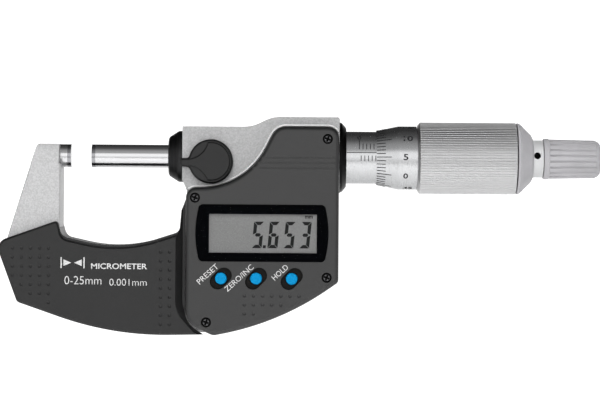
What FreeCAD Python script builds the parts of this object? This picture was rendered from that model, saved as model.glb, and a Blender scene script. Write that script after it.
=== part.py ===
import FreeCAD, Part
import math
import os

# Outside micrometer, 0 to 25 mm. Millimetres. +X runs along the spindle towards
# the ratchet, +Z is up and the display faces -Y. The origin is the centre of the
# anvil's measuring face.

# Measuring line
GAP = 5.653
OPEN_MAX = 25.0
SPINDLE_R = 3.175
TIP_LENGTH = 1.0
RUN = 0.05
SEAT = 0.02
TRAVEL_OUT = OPEN_MAX - GAP

# Frame casting
ARM_HALF = 6.0
BLOCK_HALF = 9.0
BLOCK_LEFT = 30.9
BLOCK_RIGHT = 73.8
BLOCK_TOP = 8.1
BLOCK_HIGH = 10.85
BLOCK_BOTTOM = -9.2
BLOCK_EDGE = 0.3
RIM_GAP = 0.3
RIM_WIDTH = 0.45
RIM_HEIGHT = 0.4
BOSS_FACE = -3.1
THROAT_LEFT = -2.6
ANVIL_SEAT = -8.0
ANVIL_SHANK_R = 2.2
BOSS_BOTTOM = -2.0
BOSS_CENTRE = -1.0
BOSS_R = 6.15

# Covers
COVER_IN = 6.1
COVER_OUT = 8.5
COVER_BEVEL = 0.55
LIP_DROP = 0.6
LIP_DEPTH = 0.65
LIP_BEVEL = 0.5
SKIN_GAP = 0.03
FLANK_BEVEL = 1.9
FLANK_EDGE = 31.1
DIMPLE_R = 0.5
DIMPLE_DEPTH = 0.16
DIMPLE_PITCH = 2.47

# Display housing
CASE_FRONT = 13.0
CASE_ROUND = 1.2
RIM_GAP_DEPTH = 0.8
CASE_CAVITY_FRONT = 11.6
BACK_OUT = 10.6
WINDOW_CENTRE = (52.83, -20.87)
WINDOW_SIZE = (36.0, 15.5)
WINDOW_THICK = 0.8
WINDOW_SINK = 0.12
LCD_CENTRE = (53.07, -20.98)
LCD_SIZE = (29.3, 10.5)
BUTTONS = (
    ("left_button", 41.77, -33.24),
    ("middle_button", 51.32, -33.22),
    ("right_button", 61.0, -33.23),
)
BUTTON_R = 1.58
RECESS_HALF_LONG = 3.35
RECESS_HALF_WIDE = 2.15
FRONT_SCREWS = ((34.59, -11.34), (70.47, -32.83), (37.82, -45.17), (70.53, 4.82))
REAR_SCREWS = ((36.6, -13.4), (70.0, -13.2), (69.6, -31.6), (40.4, -44.0))
GRIP_SCREWS = ((-12.6, -26.6), (-9.6, -38.2), (26.2, -45.3), (27.2, -24.6))
SCREW_HEAD_R = 1.02
SCREW_HOLE_R = 1.38
SCREW_SHANK_R = 0.7
CROSS_HALF = 0.8
CROSS_DEPTH = 0.2

# Measuring screw, sleeve and thimble
SLEEVE_R = 7.2
SLEEVE_IN_R = 6.6
SLEEVE_END = 107.0
BARREL_R = 6.55
BARREL_BORE_R = 3.75
SCREW_R = 3.7
THIMBLE_EDGE = 83.96
THIMBLE_R = 8.75
KNURL_R = 9.85
KNURL_FROM = 95.3
KNURL_TO = 122.3
KNURL_COUNT = 84
KNURL_GROOVE_R = 0.21
NECK_R = 5.13
KNOB_FROM = 130.1
KNOB_TO = 145.9
KNOB_R = 5.2
KNOB_RIBS = 20
GROOVE_SIDE = 0.62
RATCHET_TEETH = 12

# Lock
LOCK_X = 38.75
LOCK_Z = -1.46
LOCK_R = 6.05
LOCK_REACH = 8.15

# Battery
CELL_X = 53.5
CELL_Z = -31.0
CELL_R = 5.8
CELL_THICK = 5.4

X_AXIS = FreeCAD.Vector(1, 0, 0)
Y_AXIS = FreeCAD.Vector(0, 1, 0)
Z_AXIS = FreeCAD.Vector(0, 0, 1)


def at(x, y, z):
    return FreeCAD.Vector(x, y, z)


def path(start, *steps):
    """Closed outline in the XZ plane from lines, arcs through a point and smooth curves."""
    edges = []
    here = at(start[0], 0, start[1])
    for kind, *points in steps:
        vectors = [at(x, 0, z) for x, z in points]
        if kind == "line":
            for point in vectors:
                edges.append(Part.makeLine(here, point))
                here = point
        elif kind == "arc":
            edges.append(Part.Arc(here, vectors[0], vectors[1]).toShape())
        else:
            curve = Part.BSplineCurve()
            curve.interpolate([here] + vectors)
            edges.append(curve.toShape())
        here = vectors[-1]
    first = at(start[0], 0, start[1])
    if here.distanceToPoint(first) > 1e-6:
        edges.append(Part.makeLine(here, first))
    return Part.Wire(edges)


def slab(wire, y_from, y_to):
    """Solid between two Y levels with the given XZ outline."""
    face = Part.Face(wire)
    face.translate(at(0, y_from, 0))
    return face.extrude(at(0, y_to - y_from, 0))


def box(x, y, z):
    """Box from three (low, high) pairs."""
    size = (x[1] - x[0], y[1] - y[0], z[1] - z[0])
    return Part.makeBox(size[0], size[1], size[2], at(x[0], y[0], z[0]))


def along_x(radius, x_from, x_to, y=0, z=0):
    return Part.makeCylinder(radius, x_to - x_from, at(x_from, y, z), X_AXIS)


def along_y(radius, y_from, y_to, x, z):
    return Part.makeCylinder(radius, y_to - y_from, at(x, y_from, z), Y_AXIS)


def ring_x(outer, inner, x_from, x_to):
    return along_x(outer, x_from, x_to).cut(along_x(inner, x_from - 1, x_to + 1))


def turned(profile):
    """Solid of revolution about the X axis from (x, r) points."""
    points = [at(x, 0, r) for x, r in profile]
    points.append(points[0])
    return Part.Face(Part.makePolygon(points)).revolve(at(0, 0, 0), X_AXIS, 360)


def edges_at_y(shape, level):
    """Edges that lie in the plane y = level."""
    chosen = []
    for edge in shape.Edges:
        box_y = edge.BoundBox
        if abs(box_y.YMin - level) < 1e-4 and abs(box_y.YMax - level) < 1e-4:
            chosen.append(edge)
    return chosen


def rounded_rect(centre, size, radius, bow=0.0):
    """Rectangle outline with round corners; bow pushes the two short sides out."""
    cx, cz = centre
    hx = size[0] / 2
    hz = size[1] / 2
    k = radius * (1 - math.sqrt(0.5))
    return path(
        (cx - hx + radius, cz + hz),
        ("line", (cx + hx - radius, cz + hz)),
        ("arc", (cx + hx - k, cz + hz - k), (cx + hx, cz + hz - radius)),
        ("arc", (cx + hx + bow, cz), (cx + hx, cz - hz + radius)),
        ("arc", (cx + hx - k, cz - hz + k), (cx + hx - radius, cz - hz)),
        ("line", (cx - hx + radius, cz - hz)),
        ("arc", (cx - hx + k, cz - hz + k), (cx - hx, cz - hz + radius)),
        ("arc", (cx - hx - bow, cz), (cx - hx, cz + hz - radius)),
        ("arc", (cx - hx + k, cz + hz - k), (cx - hx + radius, cz + hz)),
    )


# ---------------------------------------------------------------- outlines

def rounded(corners):
    """Closed outline through (x, z, radius) corners with tangent arcs."""
    edges = []
    ends = []
    count = len(corners)
    for index in range(count):
        corner = at(corners[index][0], 0, corners[index][1])
        radius = corners[index][2]
        before = at(corners[index - 1][0], 0, corners[index - 1][1]).sub(corner).normalize()
        following = corners[(index + 1) % count]
        after = at(following[0], 0, following[1]).sub(corner).normalize()
        if radius == 0:
            ends.append((corner, corner))
            continue
        half = before.getAngle(after) / 2
        reach = radius / math.tan(half)
        middle = before.add(after).normalize().multiply(radius / math.sin(half) - radius)
        start = corner.add(FreeCAD.Vector(before).multiply(reach))
        stop = corner.add(FreeCAD.Vector(after).multiply(reach))
        edges.append(Part.Arc(start, corner.add(middle), stop).toShape())
        ends.append((start, stop))
    for index in range(count):
        edges.append(Part.makeLine(ends[index - 1][1], ends[index][0]))
    return Part.Wire(Part.__sortEdges__(edges))


def arm_outline():
    """Arm, bow and right leg of the casting, seen from the front."""
    return rounded((
        (BOSS_FACE, 3.2, 0), (BOSS_FACE, -2.0, 0), (THROAT_LEFT, -2.5, 0), (THROAT_LEFT, -22.1, 2.0),
        (14.4, -26.5, 37.0), (30.9, -21.3, 2.2), (31.4, -12.9, 0), (32.1, -10.9, 0),
        (32.1, BLOCK_BOTTOM + 0.6, 0), (73.0, BLOCK_BOTTOM + 0.6, 0), (73.0, -33.6, 1.5),
        (57.3, -44.5, 72.0), (40.0, -48.0, 5.0), (12.4, -48.4, 84.0), (-13.3, -39.5, 1.5),
        (-18.2, -26.4, 2.0), (-9.03, 3.2, 1.0),
    ))


def block_outline(grow=0.0):
    """Block that carries the spindle bush, the lock and the encoder."""
    g = grow
    return rounded((
        (BLOCK_LEFT - g, BLOCK_TOP + g, 0), (49.9, BLOCK_TOP + g, 10.0), (55.5, BLOCK_HIGH + g, 9.0),
        (BLOCK_RIGHT + g, BLOCK_HIGH + g, 0.6), (BLOCK_RIGHT + g, BLOCK_BOTTOM - g, 0),
        (32.0 - g, BLOCK_BOTTOM - g, 0), (31.9 - g, -8.56, 0), (BLOCK_LEFT - g, -6.5, 0),
    ))


def grip_outline():
    """Dark cover over the bow: peak by the arm, throat edge, curved bottom."""
    return rounded((
        (-20.1, -23.85, 3.0), (-3.1, -17.8, 1.0), (-1.88, -22.2, 2.6), (14.4, -25.82, 38.0),
        (30.2, -20.7, 1.8), (30.7, -14.8, 0), (31.8, -12.0, 0), (31.8, -45.75, 6.2),
        (36.9, -48.75, 0), (12.15, -49.2, 87.0), (-14.05, -40.15, 1.5),
    ))


CASE_FLANK = ((73.7, -34.1, 1.5), (57.6, -45.35, 76.0), (39.7, -48.8, 2.5), (32.1, -45.45, 6.0))


def case_outline():
    """Display case with the S-shaped upper edge."""
    corners = (
        (32.1, -8.6, 2.7), (48.16, -8.6, 20.0), (56.67, 8.1, 4.1), (73.65, 8.1, 3.1),
    ) + CASE_FLANK
    return rounded(corners)


def rear_outline():
    """Back case: straight upper edge, otherwise as the display case."""
    return rounded(((32.1, -9.9, 2.0), (73.65, -9.9, 2.0)) + CASE_FLANK)


def cavity_outline(inset=0.0):
    """Room for the electronics below the block."""
    i = inset
    return rounded((
        (33.9 + i, -10.6 - i, 0.5), (72.0 - i, -10.6 - i, 0.5), (72.0 - i, -33.2, 1.0),
        (57.0, -43.6 + i, 70.0), (39.6, -46.9 + i, 2.0), (33.9 + i, -41.4 + i, 3.0),
    ))


def oblong(x, z, half_long, half_wide):
    """Slot outline leaning 45 degrees, lower left to upper right."""
    reach = (half_long - half_wide) * math.sqrt(0.5)
    side = half_wide * math.sqrt(0.5)
    tip = half_long * math.sqrt(0.5)
    return path(
        (x - reach - side, z - reach + side),
        ("line", (x + reach - side, z + reach + side)),
        ("arc", (x + tip, z + tip), (x + reach + side, z + reach - side)),
        ("line", (x - reach + side, z - reach - side)),
        ("arc", (x - tip, z - tip), (x - reach - side, z - reach + side)),
    )


# ---------------------------------------------------------------- frame body

def build_frame():
    arm = slab(arm_outline(), -ARM_HALF, ARM_HALF)
    arm = arm.makeChamfer(0.35, edges_at_y(arm, -ARM_HALF) + edges_at_y(arm, ARM_HALF))
    head = box((-12.0, BOSS_FACE + 0.2), (-ARM_HALF - 1, ARM_HALF + 1), (BOSS_BOTTOM, 4.0))
    boss = slab(arm_outline(), -ARM_HALF - 1, ARM_HALF + 1).common(head)
    boss = boss.common(along_x(BOSS_R, -12.0, 0, 0, BOSS_CENTRE))
    arm = arm.cut(head).fuse(boss)
    block = slab(block_outline(), -BLOCK_HALF, BLOCK_HALF)
    long_edges = []
    for edge in edges_at_y(block, -BLOCK_HALF) + edges_at_y(block, BLOCK_HALF):
        if edge.BoundBox.ZMin > BLOCK_TOP - 0.5:
            long_edges.append(edge)
    block = block.makeFillet(BLOCK_EDGE, long_edges)
    body = arm.fuse(block).fuse(case_rim()).cut(rim_gap()).removeSplitter()
    for cutter in frame_cutters():
        body = body.cut(cutter)
    return body


def rim_gap():
    """Narrow gap in the block between the display case and the bead."""
    outer = case_outline().makeOffset2D(RIM_GAP)
    inner = case_outline().makeOffset2D(-RIM_GAP)
    gap = slab(outer, -CASE_FRONT, -BLOCK_HALF + RIM_GAP_DEPTH)
    gap = gap.cut(slab(inner, -CASE_FRONT - 1, 0))
    return gap.common(slab(block_outline(-BLOCK_EDGE), -CASE_FRONT, 0))


def case_rim():
    """Low bead on the block that follows the S-shaped edge of the display case."""
    inner = case_outline().makeOffset2D(RIM_GAP)
    outer = case_outline().makeOffset2D(RIM_GAP + RIM_WIDTH)
    bead = slab(outer, -BLOCK_HALF - RIM_HEIGHT, -BLOCK_HALF + 0.5)
    bead = bead.makeChamfer(RIM_HEIGHT * 0.8, edges_at_y(bead, -BLOCK_HALF - RIM_HEIGHT))
    bead = bead.cut(slab(inner, -CASE_FRONT, 0))
    return bead.common(slab(block_outline(-BLOCK_EDGE), -CASE_FRONT, 0))


def frame_cutters():
    """Bores and pockets of the casting."""
    cutters = [
        along_x(ANVIL_SHANK_R + SEAT, ANVIL_SEAT, 0),
        along_x(SPINDLE_R + 0.25, BOSS_FACE, 0),
        along_x(4.52, BLOCK_LEFT - 1, 47.0),
        along_x(SPINDLE_R + 0.6, 46, 60),
        along_x(8.0, 59.0, BLOCK_RIGHT + 1),
        along_y(2.05, -BLOCK_HALF - 1, -2.5, LOCK_X, LOCK_Z),
        along_y(CELL_R + 0.4, 0.6, ARM_HALF + 1, CELL_X, CELL_Z),
        along_y(1.3, -ARM_HALF - 1, 2, CELL_X, CELL_Z),
    ]
    for x, z in ((34.59, -11.34), (37.82, -45.17), (70.47, -32.83)):
        cutters.append(along_y(SCREW_SHANK_R + SEAT, -ARM_HALF - 1, ARM_HALF + 1, x, z))
    cutters.append(along_y(SCREW_SHANK_R + SEAT, -BLOCK_HALF - 1, -4.5, 70.53, 4.82).cut(
        along_x(8.01, 59.0, BLOCK_RIGHT + 1)))
    for x, z in GRIP_SCREWS + REAR_SCREWS:
        cutters.append(along_y(SCREW_SHANK_R + SEAT, 1.0, ARM_HALF + 1, x, z))
    return cutters


def build_anvil():
    """Round head against the boss on a thinner shank, and its carbide face."""
    head = along_x(SPINDLE_R, BOSS_FACE + SEAT, -TIP_LENGTH)
    shank = along_x(ANVIL_SHANK_R, ANVIL_SEAT + SEAT, BOSS_FACE + SEAT)
    tip = along_x(SPINDLE_R, -TIP_LENGTH + SEAT, 0)
    return {"anvil": head.fuse(shank).removeSplitter(), "anvil_tip": tip}


def build_bush():
    bush = ring_x(4.5, SPINDLE_R + 0.03, 32.6, 46.9)
    return bush.cut(along_y(1.75, -6, 0, LOCK_X, LOCK_Z))


def build_seal_ring():
    """Black nose ring: bevelled front, cone, and a spigot into the block."""
    profile = (
        (26.9, 4.0), (26.84, 4.9), (27.15, 5.45), (29.5, 6.95), (29.9, 7.05), (30.86, 7.05),
        (30.86, 4.48), (32.4, 4.48), (32.4, SPINDLE_R + 0.5), (27.4, SPINDLE_R + 0.5), (27.4, 4.0),
    )
    return turned(profile)


def build_wiper():
    profile = (
        (27.42, 3.66), (28.2, 3.66), (29.4, 3.66), (29.4, SPINDLE_R + RUN),
        (28.8, SPINDLE_R + RUN), (28.2, 3.5), (27.42, SPINDLE_R + 0.06),
    )
    return turned(profile)


def build_barrel():
    """Nut tube: flange inside the block, plain bore, slotted end for the adjusting nut."""
    profile = (
        (71.6, 7.98), (73.78, 7.98), (73.78, BARREL_R), (100.5, BARREL_R), (100.5, 5.6),
        (106.6, 5.6), (106.6, BARREL_BORE_R), (73.0, BARREL_BORE_R), (73.0, 3.4), (71.6, 3.4),
    )
    tube = turned(profile)
    for turn in range(3):
        slot = box((97.0, 107.0), (-0.4, 0.4), (3.0, 6.0))
        slot.rotate(at(0, 0, 0), X_AXIS, 120 * turn + 60)
        tube = tube.cut(slot)
    return tube


def build_adjusting_nut():
    nut = ring_x(6.5, 5.62, 101.2, 105.4)
    hole = Part.makeCylinder(0.6, 8, at(103.3, 0, 0), Y_AXIS)
    return nut.cut(hole)


def build_sleeve():
    sleeve = ring_x(SLEEVE_R, SLEEVE_IN_R, 74.0, SLEEVE_END)
    return sleeve


def build_rear_collar():
    profile = (
        (73.86, 9.8), (74.6, 9.45), (75.7, 8.15), (75.7, SLEEVE_R + SEAT), (75.0, SLEEVE_R + SEAT),
        (75.0, 7.9), (74.2, 7.9), (74.2, SLEEVE_R + SEAT), (73.86, SLEEVE_R + SEAT),
    )
    return turned(profile)


def build_collar_o_ring():
    return Part.makeTorus(7.56, 0.33, at(74.6, 0, 0), X_AXIS)


# ---------------------------------------------------------------- covers

def dimple(x, z, y_face):
    """Small round pit opening towards -Y."""
    cone = Part.makeCone(DIMPLE_R, DIMPLE_R * 0.45, DIMPLE_DEPTH, at(x, y_face, z), Y_AXIS)
    mouth = along_y(DIMPLE_R, y_face - 0.3, y_face, x, z)
    return mouth.fuse(cone)


def grip_dimples():
    """Pit centres of the cover: a block at the left that tapers below, two columns at the right."""
    centres = []
    for row in range(7):
        first = max(0, row - 3)
        if row == 6:
            first = 4
        for column in range(first, 5):
            centres.append((-15.3 + DIMPLE_PITCH * column, -25.4 - DIMPLE_PITCH * row))
    for row in range(9):
        for column in range(2):
            centres.append((25.2 + DIMPLE_PITCH * column, -26.2 - DIMPLE_PITCH * row))
    return centres


def flank_cutter():
    """Removes a wide bevel where the cover slopes down to the display case."""
    outline = rounded((
        (FLANK_EDGE - FLANK_BEVEL, -5.0, 0), (FLANK_EDGE - FLANK_BEVEL, -42.6, 8.0),
        (38.7, -53.0, 0), (48.0, -53.0, 0), (48.0, -5.0, 0),
    ))
    tool = slab(outline, -COVER_OUT - 1.0, -COVER_OUT + FLANK_BEVEL)
    return tool.makeChamfer(FLANK_BEVEL, edges_at_y(tool, -COVER_OUT + FLANK_BEVEL))


def lip_cutter():
    """Lowers a narrow lip along the throat edge of the front cover."""
    kept = grip_outline()
    kept.translate(at(0, 0, -LIP_DROP))
    raised = slab(kept, -COVER_OUT, -COVER_OUT + LIP_DEPTH)
    raised = raised.makeChamfer(LIP_BEVEL, edges_at_y(raised, -COVER_OUT))
    strip = box((-3.0, 33.0), (-COVER_OUT - 1, -COVER_OUT + LIP_DEPTH), (-32.0, -8.0))
    return strip.cut(raised)


def throat_skin(y_from, y_to):
    """Thin lining of the covers that wraps over the casting inside the throat."""
    lining = slab(grip_outline(), y_from, y_to).cut(slab(arm_outline(), y_from - 1, y_to + 1))
    return lining.common(box((THROAT_LEFT, 31.7), (y_from - 1, y_to + 1), (-26.5, -13.5)))


def build_grip_covers():
    front = slab(grip_outline(), -COVER_OUT, -COVER_IN)
    front = front.makeChamfer(COVER_BEVEL, edges_at_y(front, -COVER_OUT)).cut(lip_cutter())
    pits = [dimple(x, z, -COVER_OUT) for x, z in grip_dimples()]
    front = front.cut(Part.makeCompound(pits)).cut(flank_cutter())
    front = front.fuse(throat_skin(-COVER_IN, -SKIN_GAP)).removeSplitter()
    rear = slab(grip_outline(), COVER_IN, COVER_OUT)
    rear = rear.makeChamfer(COVER_BEVEL, edges_at_y(rear, COVER_OUT))
    rear = rear.fuse(throat_skin(SKIN_GAP, COVER_IN)).removeSplitter()
    for x, z in GRIP_SCREWS:
        rear = rear.cut(along_y(SCREW_HOLE_R, 7.5, 9, x, z))
        rear = rear.cut(along_y(SCREW_SHANK_R + 0.1, 6, 9, x, z))
    return {"front_grip_cover": front, "rear_grip_cover": rear}


# ---------------------------------------------------------------- display case

def build_display_housing():
    body = slab(case_outline(), -CASE_FRONT, -COVER_IN)
    body = body.makeFillet(CASE_ROUND, edges_at_y(body, -CASE_FRONT))
    body = body.cut(slab(block_outline(0.1), -BLOCK_HALF - 0.1, 0))
    cavity = slab(cavity_outline(), -CASE_CAVITY_FRONT, 0)
    body = body.cut(cavity)
    body = body.cut(slab(window_outline(0.1), -CASE_FRONT - 1, -CASE_CAVITY_FRONT - 0.45))
    body = body.cut(slab(window_outline(-0.8), -CASE_FRONT - 1, -CASE_CAVITY_FRONT + 1))
    for _, x, z in BUTTONS:
        body = body.cut(slab(oblong(x, z, RECESS_HALF_LONG, RECESS_HALF_WIDE), -CASE_FRONT - 1, -10))
    for x, z in FRONT_SCREWS:
        body = body.fuse(along_y(2.0, -CASE_CAVITY_FRONT - 0.2, -9.1, x, z))
        body = body.cut(along_y(SCREW_HOLE_R, -CASE_FRONT - 1, -CASE_FRONT + 1.0, x, z))
        body = body.cut(along_y(SCREW_SHANK_R + 0.1, -CASE_FRONT, 0, x, z))
    body = body.cut(case_grooves())
    pits = [dimple(x, z, -CASE_FRONT) for x, z in case_dimples()]
    return body.cut(Part.makeCompound(pits)).removeSplitter()


def case_dimples():
    centres = []
    for row, count in enumerate((7, 5, 2)):
        for column in range(count):
            centres.append((48.2 + DIMPLE_PITCH * column, -37.85 - 2.43 * row))
    return centres


def case_grooves():
    """Three shallow straight grooves right of the S-shaped edge."""
    cutters = []
    for z in (-0.4, -1.78, -3.2):
        cutters.append(box((45.0, 72.8), (-CASE_FRONT - 1, -CASE_FRONT + 0.25), (z - 0.2, z + 0.2)))
    keep = slab(case_outline(), -CASE_FRONT - 2, -CASE_FRONT + 2)
    return Part.makeCompound(cutters).common(keep)


def window_outline(grow):
    size = (WINDOW_SIZE[0] - 1.4 + 2 * grow, WINDOW_SIZE[1] + 2 * grow)
    return rounded_rect(WINDOW_CENTRE, size, 1.3 + grow, 0.75)


def build_window():
    front = -CASE_FRONT + WINDOW_SINK
    return slab(window_outline(0), front, front + WINDOW_THICK)


def build_mask():
    """Black printed layer under the window with the opening for the LCD."""
    back_of_window = -CASE_FRONT + WINDOW_SINK + WINDOW_THICK
    plate = slab(window_outline(-0.9), back_of_window + 0.03, back_of_window + 0.4)
    opening = box(
        (LCD_CENTRE[0] - LCD_SIZE[0] / 2, LCD_CENTRE[0] + LCD_SIZE[0] / 2),
        (-CASE_FRONT, 0),
        (LCD_CENTRE[1] - LCD_SIZE[1] / 2, LCD_CENTRE[1] + LCD_SIZE[1] / 2),
    )
    return plate.cut(opening)


def build_lcd():
    cx, cz = LCD_CENTRE
    return box((cx - 15.6, cx + 15.6), (-11.6, -10.2), (cz - 6.3, cz + 6.3))


def build_lcd_strips():
    cx, cz = LCD_CENTRE
    strips = []
    for side in (-1, 1):
        z = cz + side * 5.4
        strips.append(box((cx - 14.5, cx + 14.5), (-10.18, -8.82), (z - 0.5, z + 0.5)))
    return Part.makeCompound(strips)


def build_board():
    """Printed circuit board with notches for the screw posts."""
    board = slab(cavity_outline(0.3), -8.8, -7.9)
    for x, z in FRONT_SCREWS[:3]:
        board = board.cut(along_y(2.3, -12, 0, x, z))
    return board


def build_chips():
    layout = ((45.0, -20.0, 3.5, 3.5), (60.0, -22.0, 2.6, 4.0), (66.5, -16.5, 1.2, 2.0),
              (39.0, -27.5, 1.4, 1.0), (58.0, -35.0, 1.8, 1.0))
    chips = []
    for x, z, half_x, half_z in layout:
        chips.append(box((x - half_x, x + half_x), (-7.88, -6.7), (z - half_z, z + half_z)))
    return Part.makeCompound(chips)


def build_keypad():
    """Rubber mat with one raised pad per button, visible as a black recess floor."""
    mat = box((37.6, 65.2), (-11.55, -10.9), (-37.0, -29.6))
    for _, x, z in BUTTONS:
        pad = slab(oblong(x, z, RECESS_HALF_LONG - 0.05, RECESS_HALF_WIDE - 0.05), -12.35, -11.2)
        mat = mat.fuse(pad)
    for _, x, z in BUTTONS:
        mat = mat.cut(along_y(BUTTON_R + 0.12, -14, 0, x, z))
    return mat.removeSplitter()


def build_button(x, z):
    """Domed cap on a stem with a collar that keeps it behind the mat."""
    cap = along_y(BUTTON_R, -12.95, -10.6, x, z)
    cap = cap.makeFillet(0.3, edges_at_y(cap, -12.95))
    collar = along_y(BUTTON_R + 0.5, -10.6, -10.1, x, z)
    stem = along_y(0.8, -10.1, -9.4, x, z)
    return cap.fuse(collar).fuse(stem).removeSplitter()


def screw(x, z, y_head, length, direction):
    """Cross-recess cap screw along Y; direction -1 shows its head to -Y, +1 to +Y."""
    head = along_y(SCREW_HEAD_R, 0, 0.8, 0, 0)
    head = head.makeFillet(0.3, edges_at_y(head, 0))
    body = head.fuse(along_y(SCREW_SHANK_R, 0.7, length, 0, 0))
    for turn in (20, 110):
        across = (-CROSS_DEPTH, CROSS_DEPTH)
        slot = box((-CROSS_HALF, CROSS_HALF), across, across)
        slot.rotate(at(0, 0, 0), X_AXIS, 45)
        slot.rotate(at(0, 0, 0), Y_AXIS, turn)
        body = body.cut(slot)
    if direction > 0:
        body.rotate(at(0, 0, 0), Z_AXIS, 180)
    body.translate(at(x, y_head, z))
    return body.removeSplitter()


def build_front_screws():
    screws = []
    for x, z in FRONT_SCREWS[:3]:
        screws.append(screw(x, z, -CASE_FRONT + 0.15, 9.5, -1))
    x, z = FRONT_SCREWS[3]
    screws.append(screw(x, z, -CASE_FRONT + 0.15, 5.2, -1))
    return Part.makeCompound(screws)


def build_rear_screws():
    screws = []
    for x, z in REAR_SCREWS:
        screws.append(screw(x, z, BACK_OUT - 0.15, 6.5, 1))
    for x, z in GRIP_SCREWS:
        screws.append(screw(x, z, COVER_OUT - 0.15, 5.0, 1))
    return Part.makeCompound(screws)


def build_rear_housing():
    body = slab(rear_outline(), COVER_IN, BACK_OUT)
    body = body.makeFillet(CASE_ROUND, edges_at_y(body, BACK_OUT))
    body = body.cut(box((42.0, 66.0), (5, 8.4), (-38.5, -23.0)))
    body = body.cut(along_y(7.0, 5, BACK_OUT + 1, CELL_X, CELL_Z))
    for x, z in REAR_SCREWS:
        body = body.cut(along_y(SCREW_HOLE_R, BACK_OUT - 1.0, BACK_OUT + 1, x, z))
        body = body.cut(along_y(SCREW_SHANK_R + 0.1, 5, BACK_OUT, x, z))
    return body


def build_gasket():
    """Thin seal between the display case and the casting."""
    seal = slab(cavity_outline(), -6.09, -6.01).cut(slab(cavity_outline(1.0), -7, -5))
    for x, z in FRONT_SCREWS[:3]:
        seal = seal.cut(along_y(SCREW_SHANK_R + 0.1, -7, -5, x, z))
    return seal


def build_battery():
    cell = along_y(CELL_R, 2.3, 2.3 + CELL_THICK, CELL_X, CELL_Z)
    return cell.makeFillet(0.4, edges_at_y(cell, 2.3) + edges_at_y(cell, 2.3 + CELL_THICK))


def build_battery_contacts():
    """Bottom disc with a pin to the board, and a side leaf beside the cell."""
    disc = along_y(4.0, 1.6, 1.9, CELL_X, CELL_Z)
    spring = along_y(2.4, 1.9, 2.25, CELL_X, CELL_Z)
    pin = along_y(0.7, -7.85, 1.6, CELL_X, CELL_Z)
    return disc.fuse(spring).fuse(pin).removeSplitter()


def build_battery_cap():
    """Coin-slot cap with two bayonet lugs under the back case."""
    cap = along_y(6.85, 8.9, BACK_OUT + 0.1, CELL_X, CELL_Z)
    cap = cap.makeChamfer(0.3, edges_at_y(cap, BACK_OUT + 0.1))
    skirt = along_y(6.2, 8.0, 8.9, CELL_X, CELL_Z)
    cap = cap.fuse(skirt)
    slot = box((CELL_X - 4.4, CELL_X + 4.4), (BACK_OUT - 0.8, BACK_OUT + 1),
               (CELL_Z - 0.8, CELL_Z + 0.8))
    return cap.cut(slot).removeSplitter()


def build_cap_seal():
    return Part.makeTorus(6.55, 0.28, at(CELL_X, 8.45, CELL_Z), Y_AXIS)


# ---------------------------------------------------------------- lock

def lock_outline():
    """Round plate with a waisted finger that points at the nose ring."""
    x = LOCK_X
    z = LOCK_Z
    return path(
        (x - LOCK_REACH, z + 0.85),
        ("line", (x - 6.9, z + 0.85)),
        ("arc", (x - 6.3, z + 1.0), (x - 5.8, z + 1.7)),
        ("arc", (x + LOCK_R, z), (x - 5.6, z - 2.3)),
        ("arc", (x - 6.2, z - 1.65), (x - 6.9, z - 1.45)),
        ("line", (x - LOCK_REACH, z - 1.45)),
    )


def keyhole_outline():
    """Raised part of the lever: narrow finger that flares into the round."""
    x = LOCK_X
    z = LOCK_Z
    r = LOCK_R - 0.75
    return path(
        (x - LOCK_REACH, z + 0.6),
        ("line", (x - 6.0, z + 0.65)),
        ("arc", (x - 3.2, z + 1.7), (x - 0.9, z + 5.15)),
        ("arc", (x + r, z), (x - 0.9, z - 5.15)),
        ("arc", (x - 3.2, z - 2.3), (x - 6.0, z - 1.25)),
        ("line", (x - LOCK_REACH, z - 1.2)),
    )


def build_lock_lever():
    base = slab(lock_outline(), -11.0, -9.45)
    rim = []
    for edge in edges_at_y(base, -11.0):
        if edge.BoundBox.XMax > LOCK_X + LOCK_R - 0.1:
            rim.append(edge)
    base = base.makeChamfer(0.5, rim)
    raised = slab(keyhole_outline(), -11.7, -10.8)
    raised = raised.makeChamfer(0.3, edges_at_y(raised, -11.7))
    lever = base.fuse(raised)
    return lever.cut(along_y(1.2 + SEAT, -10.4, -9, LOCK_X, LOCK_Z)).removeSplitter()


def build_lock_screw():
    neck = along_y(1.2, -10.38, -9.3, LOCK_X, LOCK_Z)
    shank = along_y(2.0, -9.3, -5.6, LOCK_X, LOCK_Z)
    return neck.fuse(shank).removeSplitter()


def build_lock_washer():
    washer = along_y(5.2, -9.35, -BLOCK_HALF - SEAT, LOCK_X, LOCK_Z)
    return washer.cut(along_y(2.1, -12, 0, LOCK_X, LOCK_Z))


def build_lock_pad():
    pad = along_y(1.7, -5.3, -1.0, LOCK_X, LOCK_Z)
    return pad.cut(along_x(SPINDLE_R + RUN, 30, 50))


# ---------------------------------------------------------------- encoder

def build_stator():
    return ring_x(7.9, 3.6, 62.0, 63.4)


def build_rotor():
    return ring_x(7.4, 5.02, 64.0, 65.0)


def build_rotor_hub():
    profile = (
        (63.7, 5.0), (65.05, 5.0), (65.05, 6.0), (70.6, 6.0), (70.6, SPINDLE_R + RUN),
        (63.7, SPINDLE_R + RUN),
    )
    hub = turned(profile)
    return hub.cut(box((66.98, 69.02), (-0.62, 0.62), (2.8, 6.5)))


def build_rotor_key():
    key = box((67.0, 69.0), (-0.6, 0.6), (2.3, 5.9))
    return key


# ---------------------------------------------------------------- spindle body

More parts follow.
